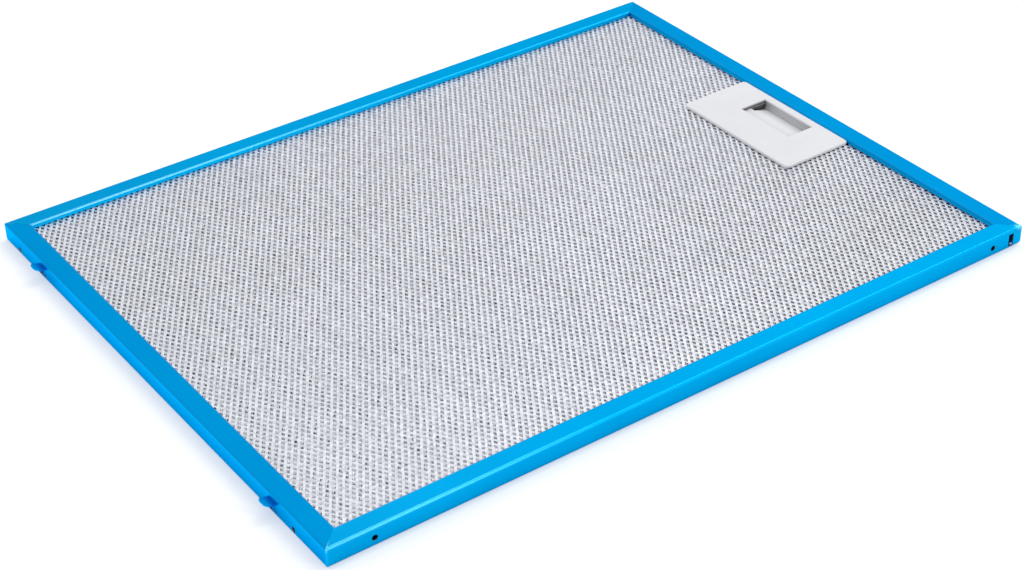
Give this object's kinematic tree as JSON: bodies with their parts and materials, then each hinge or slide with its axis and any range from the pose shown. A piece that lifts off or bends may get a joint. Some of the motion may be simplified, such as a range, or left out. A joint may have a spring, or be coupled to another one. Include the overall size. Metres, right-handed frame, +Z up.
{
  "type": "cooker hood grease filter",
  "caption": "Flat rectangular grease filter: expanded aluminium mesh pack in a blue folded metal frame, with a sprung finger latch in one short side and lugs on the other.",
  "frame": {"origin": "middle of the filter's outline, in the plane of the back flange it lies on", "axes": "+X along the long side towards the latch, +Y along the short side, +Z up out of the front mesh"},
  "size_m": [0.328, 0.248, 0.008],
  "materials": {
    "blue_metal": "bright blue gloss film on aluminium strip",
    "mesh": "bare expanded aluminium",
    "plastic": "fine satin moulding",
    "spring": "spring steel strip"
  },
  "bodies": {
    "filter": {"frame": "blue_metal", "front_mesh": "mesh", "inner_mesh_1": "mesh", "inner_mesh_2": "mesh", "inner_mesh_3": "mesh", "back_mesh": "mesh", "handle_plate": "plastic", "handle_back_plate": "plastic", "latch_spring": "spring"},
    "latch": {"latch_slider": "plastic"}
  },
  "joints": [
    {"name": "latch_slide", "type": "slide", "parent": "filter", "child": "latch", "axis": [-1, 0, 0], "range_m": [0, 0.0045], "stiffness_N_per_m": 400, "springref_m": -0.008, "deforming": ["latch_spring"]}
  ]
}
